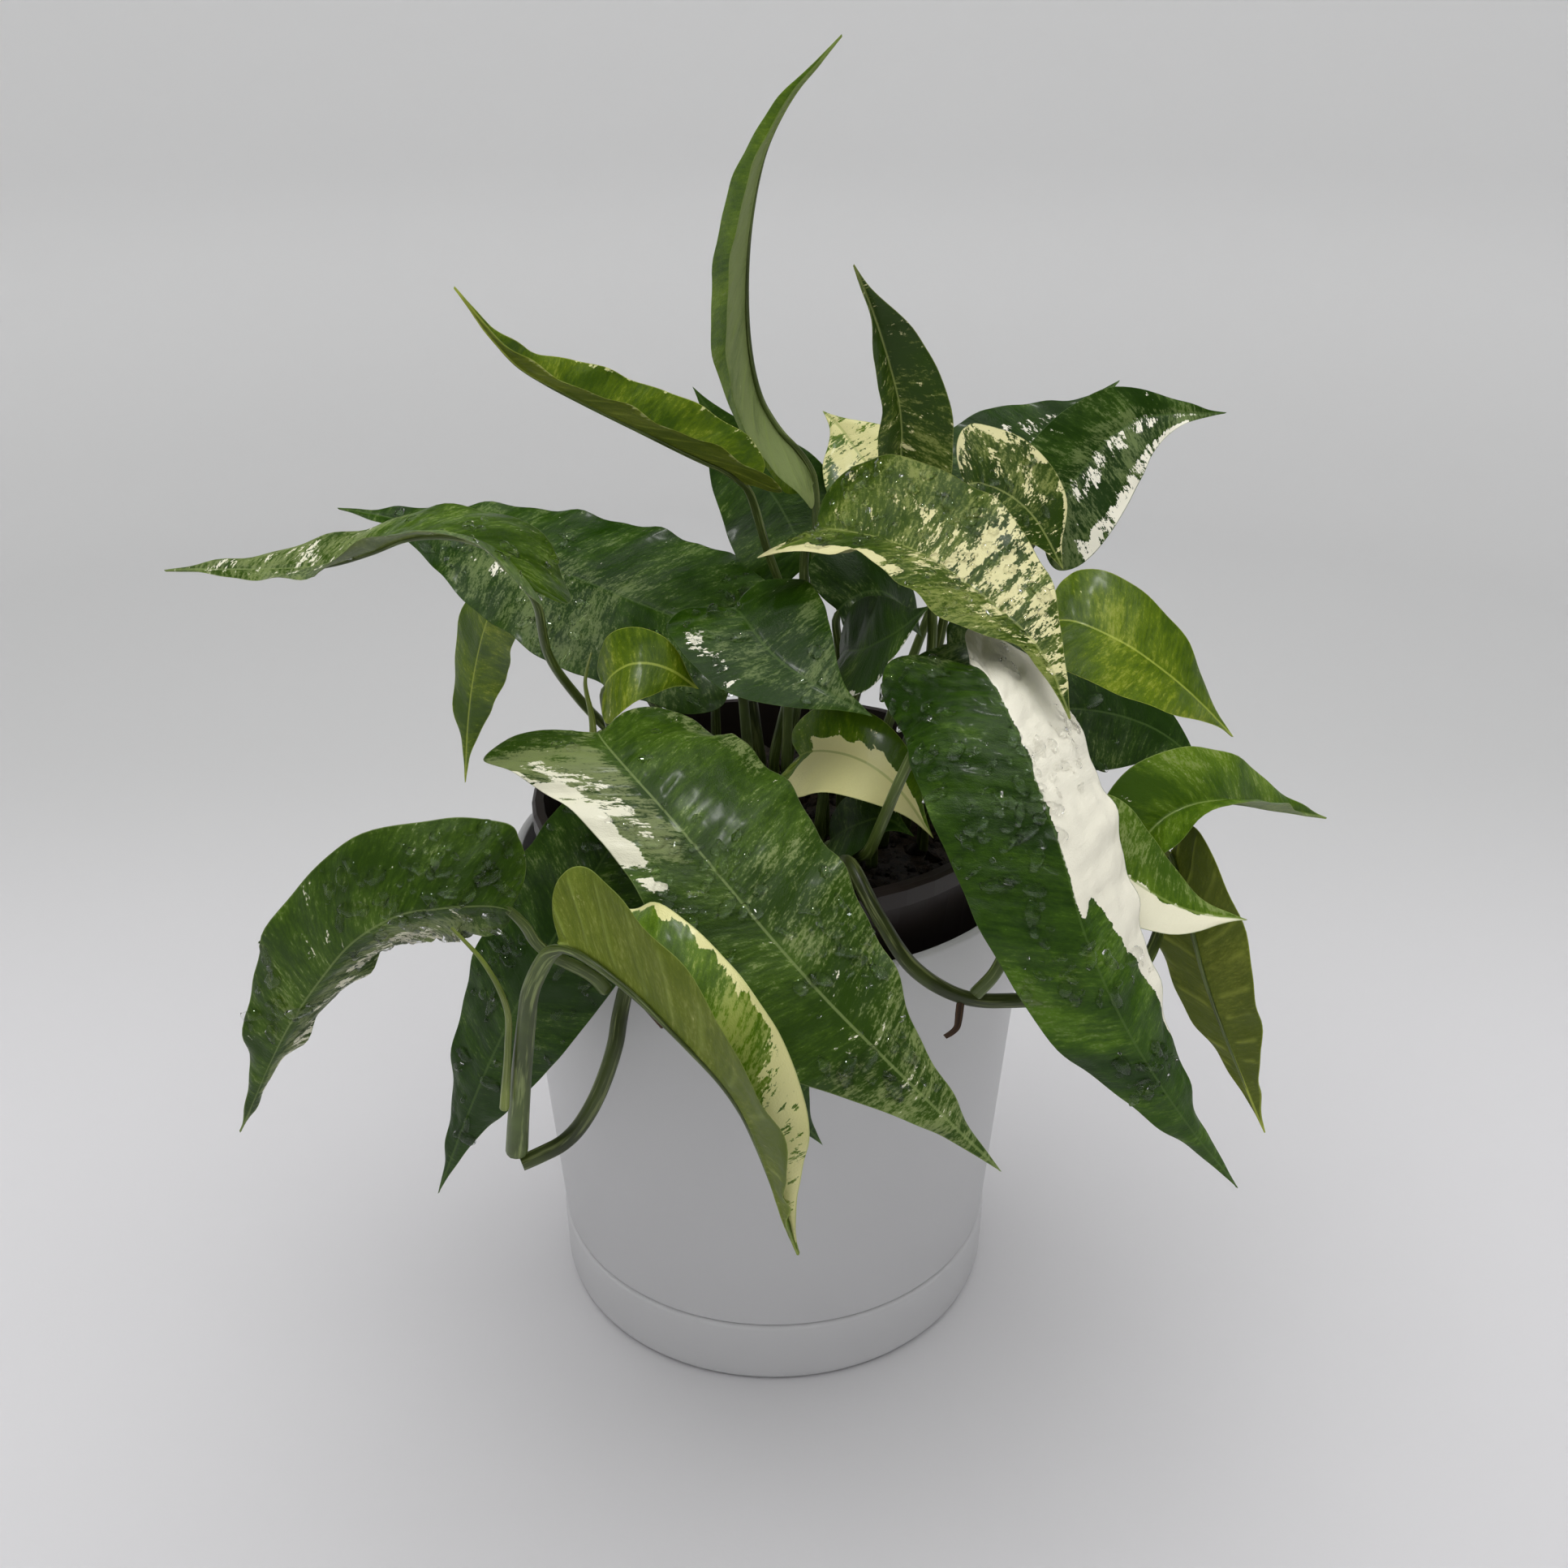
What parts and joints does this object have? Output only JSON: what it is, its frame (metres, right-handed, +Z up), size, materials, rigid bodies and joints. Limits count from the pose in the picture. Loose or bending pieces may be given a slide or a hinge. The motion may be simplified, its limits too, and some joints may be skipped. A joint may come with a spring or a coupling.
{
  "type": "potted pothos plant",
  "caption": "Trailing variegated pothos in a nursery pot, standing in a tapered white cover pot with a base tray; long arching leaves spread out over the rim.",
  "frame": {"origin": "centre of the flat underside of the base tray, where the pot stands", "axes": "+Z up along the pot's axis; the side of the plant where the longest leaves hang over the rim faces -Y; +X is to the right seen from the front"},
  "size_m": [0.33, 0.2882, 0.389],
  "materials": {
    "cover_plastic": "matt white, fine moulded texture",
    "nursery_plastic": "dark brown, smooth with a dull sheen",
    "potting_soil": "rough damp crumbs of peat and bark",
    "leaf_marbled": "waxy semi-gloss green with sage and cream marbling",
    "leaf_white_sectored": "waxy semi-gloss, dark green beside pure white",
    "leaf_cream_edged": "waxy semi-gloss green with cream edge and patches",
    "leaf_dark_green": "waxy glossy dark green with a few pale flecks",
    "leaf_yellow_green": "soft semi-gloss yellow-green of a young leaf",
    "green_stem": "smooth olive green with pale lengthwise streaks",
    "young_shoot": "smooth pale yellow-green",
    "dry_root": "dry fibrous brown"
  },
  "bodies": {
    "root": {"base_tray": "cover_plastic", "cover_pot": "cover_plastic", "nursery_pot": "nursery_plastic", "soil": "potting_soil", "leaf_front_large": "leaf_marbled", "leaf_front_white_half": "leaf_white_sectored", "leaf_front_curled": "leaf_cream_edged", "leaf_left_front": "leaf_marbled", "leaf_left_dark": "leaf_dark_green", "leaf_front_low": "leaf_dark_green", "leaf_left_arching": "leaf_marbled", "leaf_back_left_broad": "leaf_dark_green", "leaf_back_left_drooping": "leaf_dark_green", "leaf_young_left": "leaf_yellow_green", "leaf_centre_small": "leaf_dark_green", "leaf_upright_tall": "leaf_dark_green", "leaf_upper_left": "leaf_yellow_green", "leaf_back_centre": "leaf_dark_green", "leaf_upright_pointed": "leaf_marbled", "leaf_back_cream": "leaf_cream_edged", "leaf_inner_dark": "leaf_dark_green", "leaf_inner_cream": "leaf_white_sectored", "leaf_inner_grey": "leaf_dark_green", "leaf_inner_low": "leaf_dark_green", "leaf_marbled_large": "leaf_marbled", "leaf_back_right_dark": "leaf_dark_green", "leaf_back_right_white_edge": "leaf_cream_edged", "leaf_marbled_round": "leaf_marbled", "leaf_right_grey": "leaf_dark_green", "leaf_right_yellow_green": "leaf_yellow_green", "leaf_right_dark": "leaf_dark_green", "leaf_right_folded": "leaf_marbled", "leaf_right_white_edge": "leaf_white_sectored", "leaf_right_yellow_rib": "leaf_yellow_green", "vine_left": "green_stem", "vine_right": "green_stem", "new_shoot_left": "young_shoot", "aerial_root_left": "dry_root", "aerial_root_right": "dry_root", "stem_left": "green_stem", "stem_centre": "green_stem", "stem_right": "green_stem", "leaf_sheath": "young_shoot"}
  },
  "joints": []
}
